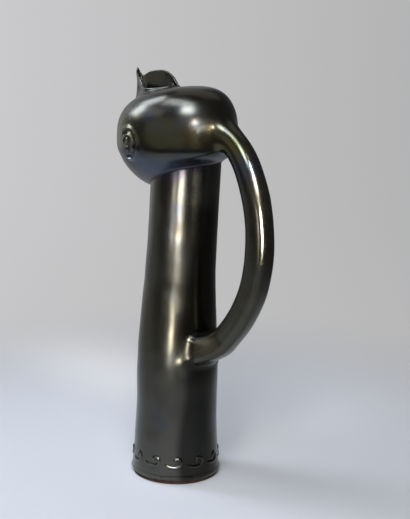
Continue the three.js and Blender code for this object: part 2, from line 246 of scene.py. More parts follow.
mouth = {
    "back": -9.0, "length": 82.5, "width": 41.5, "lip": 4.8, "top": 575.8,
    "tuck": (1.8, 4.2), "tuckDepth": (18, 32),  # how far the wall leans in, on the near and the far side
    "tuckSides": (0, 15),     # y of the two sides
    "leastFillet": 3.0, "lipFillet": 27.0, "filletGrowth": 1.5,
    "wellFloor": 505, "wellFillet": 4.0, "reachBack": 20, "rimRounding": 1.5, "rimEase": 1.5,
    # of the first mesh: the heights of its lip and its well, and how much thicker and higher its lip
    # is, so that it is caught whole
    "stockFrom": 540, "stockWell": (512, 620), "stockOver": 1.5,
    "rim": [                  # share of the length, share of the half-width, height over the top
        (1, 0, 24.5), (0.985, 0.14, 19.5), (0.93, 0.27, 11.5), (0.86, 0.53, 16.5), (0.74, 0.77, 19.5),
        (0.59, 0.91, 20.5), (0.46, 0.96, 18), (0.33, 0.94, 11.35), (0.19, 0.7, 3.7), (0.06, 0.29, 2.2),
        (0, -0.29, 2.2), (0.07, -0.72, 1.6), (0.21, -0.96, -0.8), (0.39, -1.04, -2.6), (0.61, -0.87, -3.1),
        (0.82, -0.38, 6.7), (0.98, -0.14, 18.5),
    ],
}
rimPoints = [
    (mouth["back"] - share * mouth["length"], side * mouth["width"] / 2, mouth["top"] + rise)
    for share, side, rise in mouth["rim"]
]
rimLine = throughPoints(rimPoints, closed=True, count=480)[:-1]


def mouthGrid(flat):
    # signed distance to the rim's outline in plan, and the rim's height near there
    out = np.empty((len(flat), 2))
    plan = rimLine[:, :2]
    nextPlan = np.roll(plan, -1, 0)
    for start in range(0, len(flat), batch):
        part = flat[start:start + batch]
        gap = np.linalg.norm(part[:, None] - plan[None], axis=2)
        nearest = gap.min(1)
        weight = np.exp(-((gap - nearest[:, None]) / mouth["rimEase"]) ** 2)
        height = (weight * rimLine[:, 2]).sum(1) / weight.sum(1)
        x, y = part[:, :1], part[:, 1:]
        crosses = (plan[:, 1] > y) != (nextPlan[:, 1] > y)
        slope = (nextPlan[:, 0] - plan[:, 0]) / np.where(
            nextPlan[:, 1] == plan[:, 1], 1e-9, nextPlan[:, 1] - plan[:, 1])
        inside = (crosses & (x < plan[:, 0] + (y - plan[:, 1]) * slope)).sum(1) % 2 == 1
        out[start:start + batch, 0] = np.where(inside, -nearest, nearest)
        out[start:start + batch, 1] = height
    return out


mouthLookup = Lookup((-118, -45), (16, 45), 0.75, mouthGrid)  # x and y of two corners, and the step


def mouthForms(p):
    # the lip's wall, and the well that it goes round
    side, height = mouthLookup.read(p[:, 0], p[:, 1]).T
    half = mouth["lip"] / 2
    under = height - p[:, 2]
    tuck, depth = (np.interp(p[:, 1], mouth["tuckSides"], mouth[k]) for k in ("tuck", "tuckDepth"))
    inward = np.clip(under / depth, 0, 1)
    side = side + tuck * inward * inward * (3 - 2 * inward)
    lip = np.hypot(side, np.maximum(half - under, 0)) - half
    well = np.maximum(side + half, mouth["wellFloor"] - p[:, 2])
    fillet = np.clip(under * mouth["filletGrowth"], mouth["leastFillet"], mouth["lipFillet"])
    return lip, well, fillet


# Handle: a long arch pulled by hand, softly four-sided, that spreads where it meets the pot

handle = {
    "side": 37.0, "bulge": 77.6,
    "squareness": 3.2, "softerTop": 0.9, "softerAlong": (51, 221), "squarerRoot": 3,
    "crease": 0.6, "creaseAt": -3, "creaseWidth": 3.5,  # the soft groove along the lower run's side
    "creaseFrom": (0.5, 0.75),  # shares of the length over which it deepens
    "headEnd": (84.8, 497), "tubeEnd": (59.6, 196),
    "start": [(-0.369, 0.41), (0.041, 0.2115), (0.374, -0.077)],
    "shape": [(0.848, 0.7), (0.69, 0.918), (0.555, 1), (0.448, 0.996), (0.343, 0.932),
              (0.226, 0.757), (0.139, 0.546)],
    "finish": [(0.282, 0.218), (-0.256, -0.051)],
    "upperRoot": 62, "lowerRoot": 68, "upperSpread": 0.32, "lowerSpread": 0.56, "deepen": 0.14,
    "rootEase": 0.2,          # how softly the lower root's spread begins
    "rootLift": 9.0, "liftSide": 33, "liftTo": 38,  # it wraps the tube: its sides sit above its middle
    "thumb": (40, -30, 181), "thumbSize": (12, 12, 15),  # tail of the root, pressed on to the tube
    "thumbBelow": 240, "thumbFillet": 9.0,
    "front": 15, "low": 120, "middle": 340, "high": 585,  # the space that holds it
}
(headX, headZ), (tubeX, tubeZ) = handle["headEnd"], handle["tubeEnd"]
archPoints = (
    [(headX + out * handle["bulge"], 0, headZ + up * handle["bulge"]) for out, up in handle["start"]]
    + [(tubeX + (headX - tubeX) * up + out * handle["bulge"], 0, tubeZ + (headZ - tubeZ) * up)
       for up, out in handle["shape"]]
    + [(tubeX + out * handle["bulge"], 0, tubeZ + up * handle["bulge"]) for out, up in handle["finish"]]
)
archLine = blur(throughPoints(archPoints, count=420), 7)
archAlong = np.concatenate([[0], np.cumsum(np.linalg.norm(np.diff(archLine, axis=0), axis=1))])
archLength = archAlong[-1]
archTangent = np.gradient(archLine, axis=0)
archTangent /= np.linalg.norm(archTangent, axis=1, keepdims=True)


def rootShares(along):
    # 1 at the end of each root, falling to 0 where the plain bar begins
    upper = np.maximum(1 - along / handle["upperRoot"], 0) ** 2
    lower = np.maximum(1 - (archLength - along) / handle["lowerRoot"], 0)
    lower = (1 + handle["rootEase"]) * lower ** 2 / (lower + handle["rootEase"])
    return upper, lower


def rootSize(upper, lower):
    # how much wider and deeper the bar is near its roots
    spread = 1 + 2 * handle["upperSpread"] * upper + 2 * handle["lowerSpread"] * lower
    return spread, 1 + 2 * handle["deepen"] * (upper + lower)


def archGrid(flat):
    # distance along the arch's line, and offset from it within its plane
    out = np.empty((len(flat), 2))
    plane = archLine[:, [0, 2]]
    tangent = archTangent[:, [0, 2]]
    for start in range(0, len(flat), batch):
        part = flat[start:start + batch]
        gap = np.linalg.norm(part[:, None] - plane[None], axis=2)
        nearest = gap.argmin(1)
        offset = part - plane[nearest]
        t = tangent[nearest]
        out[start:start + batch, 0] = archAlong[nearest] + (offset * t).sum(1)
        out[start:start + batch, 1] = offset[:, 0] * t[:, 1] - offset[:, 1] * t[:, 0]
    return out


archLookup = Lookup((20, 130), (190, 590), 1.5, archGrid)  # x and z of two corners, and the step


def handleForm(p):
    along, across = archLookup.read(p[:, 0], p[:, 2]).T
    upper, lower = rootShares(np.clip(along, 0, archLength))
    spread, deepen = rootSize(upper, lower)
    half = handle["side"] / 2
    softer = handle["softerTop"] * np.interp(along, handle["softerAlong"], (1, 0))
    power = handle["squareness"] - softer + handle["squarerRoot"] * lower
    y = np.abs(p[:, 1])
    lift = handle["rootLift"] * lower * (np.minimum(y, handle["liftTo"]) / handle["liftSide"]) ** 2
    crease = handle["crease"] * np.interp(along / archLength, handle["creaseFrom"], (0, 1))
    wide = half * spread - crease * np.exp(-((across - handle["creaseAt"]) / handle["creaseWidth"]) ** 2)
    a, b = np.abs(across - lift) / (half * deepen), y / wide
    size = np.maximum((a ** power + b ** power) ** (1 / power), 1e-3)
    ring = np.hypot(across - lift, y) * (1 - 1 / size)
    ring = np.where(size < 0.3, -half * (1 - size), ring)  # steadier round the middle line
    beyond = np.maximum(-along, along - archLength)
    return np.maximum(ring, beyond)


# Raised trails of clay under the glaze: an ornament on each side of the head, and a band of
# running waves above the foot

eye = {
    "along": -33, "up": 497.5, "width": 43, "height": 46, "reach": 34, "out": 40,
    "rimArc": (150, -122), "rimHeight": 2.3, "rimWidth": 2.2, "taper": 25,  # arcs in degrees
    "groove": 1.8, "grooveWidth": 2.6, "grooveIn": 4.8,
    "lidShare": 0.56, "lidArc": (190, -56), "lidHeight": 1.8, "lidWidth": 1.9,
    "boss": (-1, 6), "bossSize": 3.6, "bossHeight": 2.4,
    "ring": (-1, -7), "ringRadius": 2.7, "ringWidth": 1.2, "ringHeight": 1.7,
}


def eyeRelief(p):
    x, up = p[:, 0] - eye["along"], p[:, 2] - eye["up"]
    a, b = eye["width"] / 2, eye["height"] / 2
    ring = np.maximum(np.hypot(x / a, up / b), 0.01)
    reach = np.hypot(x, up)
    angle = np.degrees(np.arctan2(up / b, x / a))

    def crest(share, arc, height, width, shift=0):
        turn = (arc[0] - angle) % 360
        taper = np.clip(np.minimum(turn, arc[0] - arc[1] - turn) / eye["taper"], 0, 1)
        gap = reach * (1 - share / ring) + shift
        return height * np.exp(-(gap / width) ** 2) * taper * taper * (3 - 2 * taper)
    out = crest(1, eye["rimArc"], eye["rimHeight"], eye["rimWidth"])
    out -= crest(1, eye["rimArc"], eye["groove"], eye["grooveWidth"], eye["grooveIn"])
    out += crest(eye["lidShare"], eye["lidArc"], eye["lidHeight"], eye["lidWidth"])
    boss = np.hypot(x - eye["boss"][0], up - eye["boss"][1]) / eye["bossSize"]
    out += eye["bossHeight"] * np.exp(-boss ** 3)
    bead = np.hypot(x - eye["ring"][0], up - eye["ring"][1]) - eye["ringRadius"]
    out += eye["ringHeight"] * np.exp(-(bead / eye["ringWidth"]) ** 2)
    return out


band = {
    "curls": 12, "height": 34, "reach": 14, "curlSize": 7.8, "lineWidth": 1.6, "rise": 1.75,
    "tail": [(-0.52, -0.7), (-0.28, -1)],  # shares of the pitch and of the curl's size
    "winding": 4.6, "shrink": 0.58,        # radians that a curl winds through, and how much smaller it ends
}
bandPitch = 2 * math.pi * float(tubeRadius(band["height"])) / band["curls"]


def curlGrid(flat):
    # height of the trail over one length of the band, with its neighbours' ends
    size = band["curlSize"]
    line = [(out * bandPitch, up * size, 0) for out, up in band["tail"]]
    for share in np.linspace(0, 1, 9):
        angle, radius = band["winding"] * share - math.pi / 2, size * (1 - band["shrink"] * share)
        line.append((radius * math.cos(angle), radius * math.sin(angle), 0))
    trail = throughPoints(line, count=90)[:, :2] + (0, band["height"])
    strength = np.clip(np.arange(len(trail)) / 12, 0.25, 1)  # its tail starts thin
    out = np.zeros(len(flat))
    for shift in (-bandPitch, 0, bandPitch):
        gap = np.linalg.norm(flat[:, None] - (trail + (shift, 0))[None], axis=2)
        nearest = gap.argmin(1)
        out = np.maximum(out, strength[nearest] * np.exp(-(gap.min(1) / band["lineWidth"]) ** 2))
    return out * band["rise"]


curlLookup = Lookup((-bandPitch / 2 - 1, 18), (bandPitch / 2 + 1, 50), 0.4, curlGrid)


def bandRelief(p):
    turn = np.arctan2(p[:, 1], p[:, 0] - lean(p[:, 2])) / (2 * math.pi) * band["curls"]
    return curlLookup.read((turn % 1 - 0.5) * bandPitch, p[:, 2])[:, 0]


def bodyForm(p):
    high = p[:, 2]
    tube = np.maximum(tubeForm(p), high - pot["headHeight"])
    by = np.abs(high - band["height"]) < band["reach"]
    tube[by] -= bandRelief(p[by])
    tube -= pot["glazeBead"] * np.exp(-((high - pot["bottom"] - pot["beadUp"]) / pot["beadWidth"]) ** 2)
    toe = pot["toeRounding"]
    side, under = tube + toe, pot["bottom"] - high + toe
    rounded = np.hypot(np.maximum(side, 0), np.maximum(under, 0)) + np.minimum(np.maximum(side, under), 0) - toe
    tube = np.where(high < pot["toeHeight"], rounded, tube)
    head = headForm(p)
    by = np.hypot(p[:, 0] - eye["along"], high - eye["up"]) < eye["reach"]
    by &= np.abs(p[:, 1]) > eye["out"]
    head[by] -= eyeRelief(p[by])
    outer = softMin(tube, head, pot["headTubeFillet"])
    by = (p[:, 0] > handle["front"]) & (high > handle["low"]) & (high < handle["high"])
    fillet = np.where(high[by] < handle["middle"], pot["lowerRootFillet"],
                      np.interp(high[by], pot["upperRootHeight"], pot["upperRootFillet"]))
    outer[by] = softMin(outer[by], handleForm(p[by]), fillet)
    by &= high < handle["thumbBelow"]
    size = np.array(handle["thumbSize"])
    thumb = (np.stack([p[by, 0], -np.abs(p[by, 1]), p[by, 2]], 1) - handle["thumb"]) / size
    thumb = (np.linalg.norm(thumb, axis=1) - 1) * size.min()
    outer[by] = softMin(outer[by], thumb, handle["thumbFillet"])
    bore = np.maximum(tubeForm(p, pot["wall"]), np.maximum(pot["floor"] - high, high - pot["headHeight"]))
    hollow = softMin(bore, headForm(p, pot["wall"]), pot["throatFillet"])
    by = (p[:, 0] < mouth["reachBack"]) & (high > mouth["wellFloor"])
    lip, well, fillet = mouthForms(p[by])
    outer[by] = softMin(outer[by], lip, fillet)
    hollow[by] = softMin(hollow[by], well, mouth["wellFillet"])
    return softMax(outer, -hollow, mouth["rimRounding"])


def slopeOf(form, points, step=0.35):
    slope = np.empty_like(points)
    for axis in range(3):
        shift = np.zeros(3)
        shift[axis] = step
        slope[:, axis] = (form(points + shift) - form(points - shift)) / (2 * step)
    return slope


def neighbours(mesh):
    edges = np.empty(len(mesh.edges) * 2, int)
    mesh.edges.foreach_get("vertices", edges)
    a, b = edges.reshape(-1, 2).T
    return np.concatenate([a, b]), np.concatenate([b, a])


def fit(mesh, form, rounds, step=0.35):
    # slides the mesh's vertices on to the form, and evens them out along it
    points = meshPoints(mesh)
    a, b = neighbours(mesh)
    count = np.bincount(a, minlength=len(points))[:, None]
    for turn in range(rounds):
        value = form(points)
        slope = slopeOf(form, points, step)
        length = np.maximum((slope ** 2).sum(1), 0.05)
        move = -(value / length)[:, None] * slope
        size = np.linalg.norm(move, axis=1, keepdims=True)
        points += move * np.minimum(1, 3 / np.maximum(size, 1e-9))  # never more than 3 mm at once
        if turn < rounds - 2:
            middle = np.stack([np.bincount(a, points[b, k], len(points)) for k in range(3)], 1) / count
            pull = middle - points
            normal = slope / np.sqrt(length)[:, None]
            pull -= (pull * normal).sum(1, keepdims=True) * normal
            points += 0.5 * pull
    setPoints(mesh, points)
    return float(np.abs(form(points)).max())


# First rough solids, joined and hollowed, then remeshed evenly and fitted to the forms

def stock(sides, rows):
    # a plain bar of unit radius from z 0 to 1, cut into rows, to be drawn into shape
    bm = bmesh.new()
    bmesh.ops.create_cone(bm, cap_ends=True, segments=sides, radius1=1, radius2=1, depth=1)
    bmesh.ops.translate(bm, verts=bm.verts, vec=(0, 0, 0.5))
    upright = [e for e in bm.edges if abs(e.verts[0].co.z - e.verts[1].co.z) > 0.5]
    bmesh.ops.subdivide_edges(bm, edges=upright, cuts=rows - 1)
    return bm


def column(inset, low, high):
    # the tube, drawn in by inset, between two heights
    def place(p):
        z = low + (high - low) * p[:, 2]
        radius = (tubeRadius(z) - inset) * np.hypot(p[:, 0], p[:, 1])
        turn = np.arctan2(p[:, 1], p[:, 0])
        return np.stack([lean(z) + radius * np.cos(turn), radius * np.sin(turn), z], 1)
    return reshape(stock(64, int((high - low) / 12)), place)


def egg(inset):
    # the head, drawn in by inset
    bm = bmesh.new()
    bmesh.ops.create_uvsphere(bm, u_segments=72, v_segments=40, radius=1)

    def place(p):
        # slides each point of the ball out along its ray until it meets the head's form
        middle = np.array([pot["headMiddle"], 0, pot["headHeight"]])
        ray = p / np.linalg.norm(p, axis=1, keepdims=True)
        reach = np.full(len(p), 60.0)
        for _ in range(30):
            reach -= headForm(middle + ray * reach[:, None], inset)
        return middle + ray * reach[:, None]
    return reshape(bm, place)


def handleBar():
    def place(p):
        along = 6 + (archLength - 8) * p[:, 2]  # both ends stop within the pot's clay
        centre = np.stack([np.interp(along, archAlong, archLine[:, k]) for k in range(3)], 1)
        tangent = np.stack([np.interp(along, archAlong, archTangent[:, k]) for k in range(3)], 1)
        upper, lower = rootShares(along)
        spread, deepen = rootSize(upper, lower)
        size = handle["side"] / 2 / np.maximum(np.abs(p[:, 0]) ** 4 + np.abs(p[:, 1]) ** 4, 0.1) ** 0.25
        a, b = p[:, 0] * size * deepen, p[:, 1] * size * spread
        return centre + np.stack([a * tangent[:, 2], b, -a * tangent[:, 0]], 1)
    return reshape(stock(24, 60), place)


def mouthStock(offset, low, top=None):
    # a plug of the mouth's outline moved out by offset, from a low height up to the rim or to top
    plan = rimLine[:, :2]
    ahead = np.roll(plan, -4, 0) - np.roll(plan, 4, 0)
    out = np.stack([ahead[:, 1], -ahead[:, 0]], 1) / np.linalg.norm(ahead, axis=1, keepdims=True)
    middle = plan.mean(0)
    if ((plan - middle) * out).sum() < 0:
        out = -out
    moved = blur(plan + out * offset, 3, closed=True)

    def place(p):
        turn = (np.arctan2(p[:, 1], p[:, 0]) / (2 * math.pi)) % 1 * len(plan)
        i = np.round(turn).astype(int) % len(plan)
        high = rimLine[i, 2] + mouth["stockOver"] if top is None else np.full(len(i), float(top))
        return np.stack([moved[i, 0], moved[i, 1], low + (high - low) * p[:, 2]], 1)
    bm = reshape(stock(96, 8), place)
    lid = max((f for f in bm.faces if len(f.verts) > 4), key=lambda f: f.calc_center_median().z)
    centre = bmesh.ops.poke(bm, faces=[lid])["verts"][0]
    centre.co = (plan[:, 0].mean(), 0, mouth["top"] + 10 if top is None else top)
    return bm


def makeBody():
    thick = mouth["lip"] / 2 + mouth["stockOver"]
    pieces = [
        ("UNION", egg(0)), ("UNION", handleBar()), ("UNION", mouthStock(thick, mouth["stockFrom"])),
        ("DIFFERENCE", column(pot["wall"], pot["floor"], pot["headHeight"])), ("DIFFERENCE", egg(pot["wall"])),
        ("DIFFERENCE", mouthStock(-thick, *mouth["stockWell"])),
    ]
    body = addMesh("glazed_body", column(0, pot["bottom"], pot["headHeight"]))
    parts = []
    for kind, bm in pieces:
        if bm.calc_volume(signed=True) < 0:
            bmesh.ops.reverse_faces(bm, faces=bm.faces)
        cut = body.modifiers.new("join", "BOOLEAN")
        cut.use_self = bm is pieces[-1][1]  # the well's sides cross at its pointed end
        part = addMesh("rough", bm)
        cut.operation, cut.object, cut.solver = kind, part, "EXACT"
        parts.append(part)
    remesh = body.modifiers.new("even", "REMESH")
    remesh.mode, remesh.voxel_size = "VOXEL", pot["voxel"]
    bakeModifiers(body)
    for part in parts:
        rough = part.data
        bpy.data.objects.remove(part)
        bpy.data.meshes.remove(rough)
    return body


def refine(mesh, chosen):
    # cuts the edges between chosen vertices in half, for finer detail there
    bm = bmesh.new()
    bm.from_mesh(mesh)
    edges = [e for e in bm.edges if chosen[e.verts[0].index] and chosen[e.verts[1].index]]
    bmesh.ops.subdivide_edges(bm, edges=edges, cuts=1, use_grid_fill=True)
    bm.to_mesh(mesh)
    bm.free()


def countTriangles(mesh):
    return sum(len(p.vertices) - 2 for p in mesh.polygons)


fineMesh = {                  # where the mesh is finer, in millimetres
    "skin": 5, "lipSide": 4.5, "lipDepth": 4, "lipEnd": -2, "bandHalf": 12, "bandSkin": 3, "joint": 6,
    "ornament": 0.57, "ornamentEase": 60,  # the first is a share of the ornament's size
}


def nearDetail(p, margin):
    # true where the surface needs a finer mesh than the first one
    outside = np.abs(headForm(p)) < fineMesh["skin"]
    lip = np.abs(mouthLookup.read(p[:, 0], p[:, 1])[:, 0]) < fineMesh["lipSide"] + margin
    lip &= p[:, 2] > domeTop(p[:, 0], p[:, 1]) - fineMesh["lipDepth"] - margin
    lip &= p[:, 0] < fineMesh["lipEnd"]
    ornament = np.hypot((p[:, 0] - eye["along"]) / eye["width"], (p[:, 2] - eye["up"]) / eye["height"])
    ornament = ornament < fineMesh["ornament"] + margin / fineMesh["ornamentEase"]
    ornament &= outside & (np.abs(p[:, 1]) > eye["out"])
    curls = np.abs(p[:, 2] - band["height"]) < fineMesh["bandHalf"] + margin
    curls &= np.abs(tubeForm(p)) < fineMesh["bandSkin"]
    return lip | ornament | curls


def wobble(p):
    # the unevenness of hand-built walls, a fraction of a millimetre deep
    (deep, wide), (shallow, narrow) = pot["wobble"]
    return np.array([deep * noise.noise(Vector(q) / wide)
                     + shallow * noise.noise(Vector(q) / narrow + Vector((7, 3, 9))) for q in p])


# painted shade that darkens the tube's right side, as seen from the camera: its direction, where it
# starts and how its edge waves up the tube, and where it ends under the head
paintedSideShade = {
    "towards": (0.745, 0.667), "from": 3, "fade": 12, "wave": 5, "waveLength": 31,
    "top": 430, "topFade": 30, "skin": 8,
}


def markSurface(mesh, points, normal):
    # keeps two values for the glaze's colour: how sharply the surface turns outwards, 0.5 where it is
    # flat, for paler edges and painted shade in hollows, and how much painted shade darkens the tube's right
    # side
    a, b = neighbours(mesh)
    count = np.bincount(a, minlength=len(points))[:, None]
    middle = np.stack([np.bincount(a, points[b, k], len(points)) for k in range(3)], 1) / count
    size = np.bincount(a, ((points[a] - points[b]) ** 2).sum(1), len(points)) / count[:, 0]
    turn = -2 * ((middle - points) * normal).sum(1) / np.maximum(size, 0.01)
    for _ in range(2):
        turn = 0.5 * turn + 0.5 * np.bincount(a, turn[b], len(points)) / count[:, 0]
    across = points[:, 0] * paintedSideShade["towards"][0] + points[:, 1] * paintedSideShade["towards"][1]
    wave = paintedSideShade["wave"] * np.sin(points[:, 2] / paintedSideShade["waveLength"])
    dark = np.clip((across - paintedSideShade["from"] + wave) / paintedSideShade["fade"], 0, 1)
    dark *= np.clip((paintedSideShade["top"] - points[:, 2]) / paintedSideShade["topFade"], 0, 1)
    dark *= np.abs(tubeForm(points)) < paintedSideShade["skin"]
    for name, values in (("paintedSideShade", dark), ("edgeAndHollowShade", np.clip(0.5 + turn, 0, 1))):
        mesh.attributes.new(name, "FLOAT", "POINT").data.foreach_set("value", values.astype(np.float32))


body = makeBody()
fit(body.data, bodyForm, 8)
points = meshPoints(body.data)
nearJoint = np.maximum(np.abs(tubeForm(points)), np.abs(headForm(points))) < fineMesh["joint"]
refine(body.data, nearDetail(points, 3) | nearJoint)
fit(body.data, bodyForm, 5)
refine(body.data, nearDetail(meshPoints(body.data), 0))
print("body: largest gap to the form", round(fit(body.data, bodyForm, 6, step=0.2), 5), "mm")
points = meshPoints(body.data)
slope = slopeOf(bodyForm, points, 0.2)
slope /= np.linalg.norm(slope, axis=1, keepdims=True)
points -= slope * (pot["drawIn"] + wobble(points))[:, None]
setPoints(body.data, points * mm)
markSurface(body.data, points, slope)
for polygon in body.data.polygons:
    polygon.use_smooth = True
print("body:", countTriangles(body.data), "triangles")


# Materials

def linear(hexColour):
    # sRGB hex to the linear values that Blender's sockets take
    values = [int(hexColour[i:i + 2], 16) / 255 for i in (1, 3, 5)]
    return tuple(v / 12.92 if v <= 0.04045 else ((v + 0.055) / 1.055) ** 2.4 for v in values)


def addNode(tree, kind, links=(), **settings):
    # adds one node; a setting that names an input sets it, any other sets the node itself
    node = tree.nodes.new(kind)
    for name, value in settings.items():
        if hasattr(node, name):
            setattr(node, name, value)
        else:
            node.inputs[name.replace("_", " ")].default_value = value
    for target, source in dict(links).items():
        tree.links.new(source, node.inputs[target])
    return node


def newMaterial(name):
    material = bpy.data.materials.new(name)
    material.use_nodes = True
    tree = material.node_tree
    tree.nodes.clear()
    return material, tree


glaze = {
    "pale": "#5f5e58", "moss": "#4d4c42", "gunmetal": "#4a4a45", "olive": "#565439", "blue": "#434d5f",
    "violet": "#4b4650", "brown": "#423d32",
    # the hollow tint is painted shade, laid where the surface turns inwards
    "thin": "#77756c", "hollow": "#262523",  # over an edge, and in a hollow
    "thinTurn": (0.58, 0.85, 0.55), "hollowShadeTurn": (0.47, 0.3, 0.6),  # where each starts, is full, its share
    # painted shade for the tube's right side as seen from the camera, and how much of it shows
    "sideShadeTint": "#1e1d1a", "sideShadeShare": 0.75,
    "bands": [                # height in metres, and the tint there
        (0.09, "pale"), (0.16, "gunmetal"), (0.27, "moss"), (0.4, "gunmetal"), (0.494, "gunmetal"),
        (0.51, "violet"), (0.53, "blue"), (0.555, "olive"), (0.6, "gunmetal"),
    ],
    "bandDrift": 0.09, "driftSize": 95,  # metres that the bands wander, and millimetres over which
    "patches": [              # tint, size in millimetres, detail, place, where it starts, is full, its share
        ("gunmetal", 80, 1, (3, 1, 7), 0.4, 0.65, 0.6),
        ("brown", 62, 2, (8, 2, 4), 0.5, 0.7, 0.6),
        ("blue", 38, 2, (1, 9, 5), 0.56, 0.75, 0.5),
    ],
    "metallic": 1.0, "smooth": 0.21, "dull": 0.27,  # the last two are its least and most roughness
    "dullSize": 45,           # millimetres; wide duller patches, as a cloth would leave
    "rippleSize": 14, "rippleDepth": 0.0001, "pitSize": 2.6, "pitDepth": 0.00004,  # sizes in mm, depths in m
}


def lustreGlaze():
    # a dark glaze with metal in it, run smooth in the fire: a satin mirror, with soft oily tints where the
    # metal gathered in bands, paler bronze where it thins over an edge, painted shade in hollows and on the
    # tube's right side
    material, tree = newMaterial("black lustre glaze on stoneware")
    place = addNode(tree, "ShaderNodeTexCoord").outputs["Object"]

    def clouds(size, detail=2, shift=(0, 0, 0)):
        # soft patches; size in millimetres
        moved = addNode(tree, "ShaderNodeMapping", {"Vector": place}, Location=shift)
        return addNode(tree, "ShaderNodeTexNoise", {"Vector": moved.outputs[0]},
                       Scale=1000 / size, Detail=detail).outputs["Fac"]

    def share(value, low, high, most=1.0):
        return addNode(tree, "ShaderNodeMapRange", {"Value": value},
                       From_Min=low, From_Max=high, To_Max=most).outputs["Result"]

    def mixed(under, over, factor):
        node = addNode(tree, "ShaderNodeMix", {"Factor": factor}, data_type="RGBA")
        for socket, colour in ((node.inputs[6], under), (node.inputs[7], over)):
            if isinstance(colour, str):
                socket.default_value = (*linear(colour), 1)
            else:
                tree.links.new(colour, socket)
        return node.outputs[2]

    high = addNode(tree, "ShaderNodeSeparateXYZ", {"Vector": place}).outputs["Z"]
    drift = addNode(tree, "ShaderNodeMath", {0: clouds(glaze["driftSize"]), 2: high}, operation="MULTIPLY_ADD")
    drift.inputs[1].default_value = glaze["bandDrift"]
    bands = addNode(tree, "ShaderNodeValToRGB", {"Fac": drift.outputs[0]})
    ramp = bands.color_ramp
    while len(ramp.elements) < len(glaze["bands"]):
        ramp.elements.new(0.5)
    for element, (at, name) in zip(ramp.elements, glaze["bands"]):
        element.position = at
        element.color = (*linear(glaze[name]), 1)
    colour = bands.outputs["Color"]
    for tint, size, detail, shift, low, full, most in glaze["patches"]:
        colour = mixed(colour, glaze[tint], share(clouds(size, detail, shift), low, full, most))
    # painted shade, darkening the tube's right side as seen from the camera
    sideShaded = addNode(tree, "ShaderNodeAttribute", attribute_name="paintedSideShade").outputs["Fac"]
    colour = mixed(colour, glaze["sideShadeTint"], share(sideShaded, 0, 1, glaze["sideShadeShare"]))
    turn = addNode(tree, "ShaderNodeAttribute", attribute_name="edgeAndHollowShade").outputs["Fac"]
    colour = mixed(colour, glaze["thin"], share(turn, *glaze["thinTurn"]))
    # painted shade in hollows and creases
    colour = mixed(colour, glaze["hollow"], share(turn, *glaze["hollowShadeTurn"]))
    dull = share(clouds(glaze["dullSize"], 1, (5, 5, 2)), 0.3, 0.7)
    gloss = addNode(tree, "ShaderNodeMapRange", {"Value": dull}, To_Min=glaze["smooth"], To_Max=glaze["dull"])
    ripple = addNode(tree, "ShaderNodeBump", {"Height": clouds(glaze["rippleSize"], 0, (2, 2, 2))},
                     Strength=0.2, Distance=glaze["rippleDepth"])
    # pinholes, drawn 2 to 3 mm wide, or they would not show
    holes = share(clouds(glaze["pitSize"], 1, (4, 8, 1)), 0.22, 0.34)
    pits = addNode(tree, "ShaderNodeBump", {"Height": holes, "Normal": ripple.outputs["Normal"]},
                   Strength=0.06, Distance=glaze["pitDepth"])
    links = {"Base Color": colour, "Roughness": gloss.outputs["Result"], "Normal": pits.outputs["Normal"]}
    shader = addNode(tree, "ShaderNodeBsdfPrincipled", links, Metallic=glaze["metallic"])
    out = addNode(tree, "ShaderNodeOutputMaterial")
    tree.links.new(shader.outputs["BSDF"], out.inputs["Surface"])
    return material


glazeMaterial = lustreGlaze()
body.data.materials.clear()
body.data.materials.append(glazeMaterial)
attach(body, "root")
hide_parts(*[name for name in frame["nodes"] if name != "base_slab"])


# Foot: a thick disc of bare clay, seen as a dark rough line under the glaze

foot = {
    "radius": 63.6, "draft": 0.6, "top": 8.0, "softEdge": 0.7, "insets": (6, 20, 20),
    "roughness": 0.35, "grain": [(1, 3.1), (0.6, 11)],  # depth in mm; strength and size of each grain
    "darkClay": "#231a16", "redClay": "#4f372b",
    "stains": 70, "grit": 700,  # how many to the metre
}


def makeFoot():
    bm = bmesh.new()
    bmesh.ops.create_cone(bm, cap_ends=True, segments=160, radius1=foot["radius"] - foot["draft"],
                          radius2=foot["radius"], depth=foot["top"])
    bmesh.ops.translate(bm, verts=bm.verts, vec=(0, 0, foot["top"] / 2))
    low = [e for e in bm.edges if all(v.co.z < 0.01 for v in e.verts)]
    bmesh.ops.bevel(bm, geom=low, offset=foot["softEdge"], segments=3, affect="EDGES", profile=0.5, material=-1)
    upright = [e for e in bm.edges if abs(e.verts[0].co.z - e.verts[1].co.z) > 3]
    bmesh.ops.subdivide_edges(bm, edges=upright, cuts=6)
    for cap in [f for f in bm.faces if len(f.verts) > 4]:
        for size in foot["insets"]:
            bmesh.ops.inset_region(bm, faces=[cap], thickness=size)

    def place(p):
        rough = np.array([sum(k * noise.noise(Vector(q) / size) for k, size in foot["grain"]) for q in p])
        # rough at its side only, so that it stands flat
        side = np.clip(np.hypot(p[:, 0], p[:, 1]) / 20 - 2, 0, 1) * np.clip(p[:, 2] / 1.5, 0, 1)
        out = 1 + (foot["roughness"] * (rough - 0.4) * side / foot["radius"])
        return np.stack([p[:, 0] * out * mm, p[:, 1] * out * mm, p[:, 2] * mm], 1)
    return addMesh("bare_foot", reshape(bm, place))


